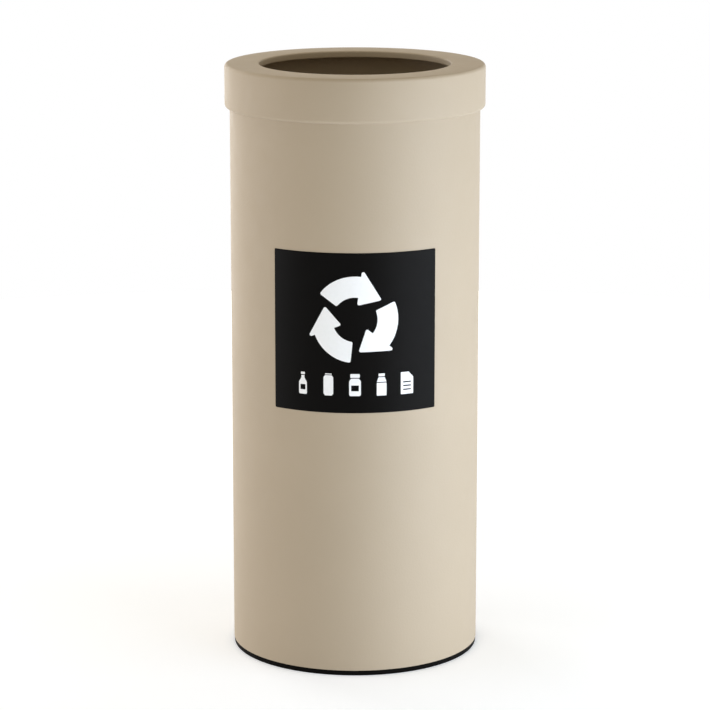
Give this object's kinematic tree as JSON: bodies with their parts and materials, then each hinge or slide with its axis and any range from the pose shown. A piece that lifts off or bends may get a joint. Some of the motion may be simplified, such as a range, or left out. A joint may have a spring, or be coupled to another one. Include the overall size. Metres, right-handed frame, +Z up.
{
  "type": "open-top recycling bin",
  "caption": "Tall round open-top recycling bin: rolled steel shell, lift-off ring lid, non-slip base ring, front label and a lift-out liner with folding grab handles.",
  "frame": {"origin": "on the floor at the centre of the bin", "axes": "+Z up, label facing -Y, +X to the right when the label is seen from the front"},
  "size_m": [0.3122, 0.3122, 0.718],
  "materials": {
    "powder_coat": "satin beige powder coat, fine orange peel",
    "base_rubber": "matt black moulding",
    "label_vinyl": "satin black vinyl with white print",
    "galvanised_sheet": "hot-dip galvanised with faint spangle",
    "plated_wire": "bright zinc plate"
  },
  "bodies": {
    "bin": {"body_shell": "powder_coat", "floor_pan": "powder_coat", "base_ring": "base_rubber", "label": "label_vinyl"},
    "liner": {"liner_wall": "powder_coat", "liner_floor": "powder_coat", "liner_rim_wire": "plated_wire", "handle_clip_right": "galvanised_sheet", "handle_clip_left": "galvanised_sheet", "clip_rivets": "plated_wire"},
    "lid": {"lid_cap": "powder_coat"},
    "handle_right": {"liner_handle_right": "plated_wire"},
    "handle_left": {"liner_handle_left": "plated_wire"}
  },
  "joints": [
    {"name": "liner_lift", "type": "slide", "parent": "bin", "child": "liner", "axis": [0, 0, 1], "range_m": [0, 0.72]},
    {"name": "lid_lift", "type": "slide", "parent": "liner", "child": "lid", "axis": [0, 0, 1], "range_m": [0, 0.12]},
    {"name": "handle_right_swing", "type": "hinge", "parent": "liner", "child": "handle_right", "pos_m": [0.1271, 0, 0.6252], "axis": [0, 1, 0], "range_deg": [0, 175]},
    {"name": "handle_left_swing", "type": "hinge", "parent": "liner", "child": "handle_left", "pos_m": [-0.1271, 0, 0.6252], "axis": [0, -1, 0], "range_deg": [0, 175]}
  ]
}
